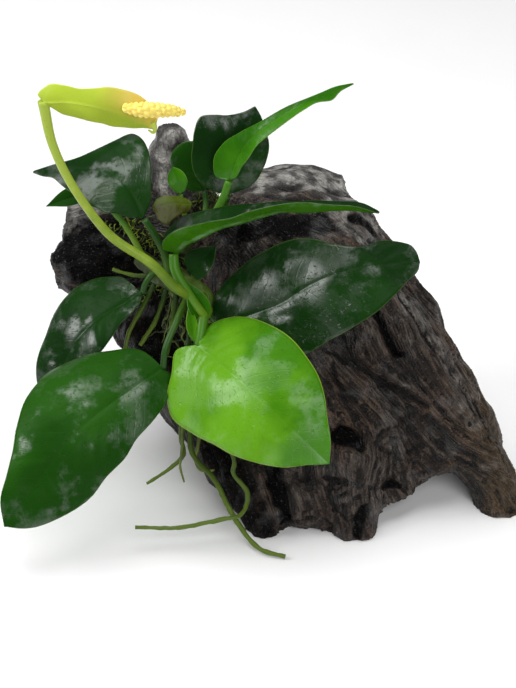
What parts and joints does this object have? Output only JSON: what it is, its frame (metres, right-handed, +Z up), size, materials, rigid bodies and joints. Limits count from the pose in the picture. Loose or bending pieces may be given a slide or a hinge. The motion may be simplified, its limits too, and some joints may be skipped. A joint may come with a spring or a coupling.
{
  "type": "anubias plant on driftwood",
  "caption": "Broad-leaved aquarium plant with a flower spathe, rooted by its creeping stem on a standing piece of driftwood.",
  "frame": {"origin": "on the standing surface, under the middle of the whole plant and its wood", "axes": "+X to the viewer's right along the longest side, +Y away from the viewer, +Z up"},
  "size_m": [0.191, 0.134, 0.1729],
  "materials": {
    "driftwood": "wet weathered grain, reddish brown with grey tops and black hollows",
    "leaf_dark": "waxy deep green leaf, glossy when wet",
    "leaf_light": "waxy young leaf, bright yellow green",
    "leaf_old": "old leaf turned yellow and brown",
    "stem": "smooth fleshy green stem",
    "flower": "waxy pale yellow green spathe and spike",
    "root": "thin olive green roots with paler tips"
  },
  "bodies": {
    "root": {"driftwood_trunk": "driftwood", "driftwood_right_root": "driftwood", "driftwood_left_limb": "driftwood", "driftwood_spur": "driftwood", "rhizome": "stem", "rhizome_branch": "stem", "leaf_front_light": "leaf_light", "leaf_front_left": "leaf_dark", "leaf_left": "leaf_dark", "leaf_upper_left": "leaf_dark", "leaf_back": "leaf_dark", "leaf_back_grey": "leaf_dark", "leaf_upper_light": "leaf_light", "leaf_middle": "leaf_dark", "leaf_right": "leaf_dark", "leaf_old_yellow": "leaf_old", "leaf_young_green": "leaf_light", "leaf_young_left": "leaf_light", "leaf_inner": "leaf_dark", "stalk_front_light": "stem", "stalk_front_left": "stem", "stalk_left": "stem", "stalk_upper_left": "stem", "stalk_back": "stem", "stalk_back_grey": "stem", "stalk_upper_light": "stem", "stalk_middle": "stem", "stalk_right": "stem", "stalk_young_green": "stem", "stalk_young_left": "stem", "flower_stalk": "stem", "spathe": "flower", "spadix": "flower", "root_long": "root", "root_crossing": "root", "root_hanging": "root", "root_left_upper": "root", "root_left_down": "root", "root_left_inner": "root", "root_middle": "root"}
  },
  "joints": []
}
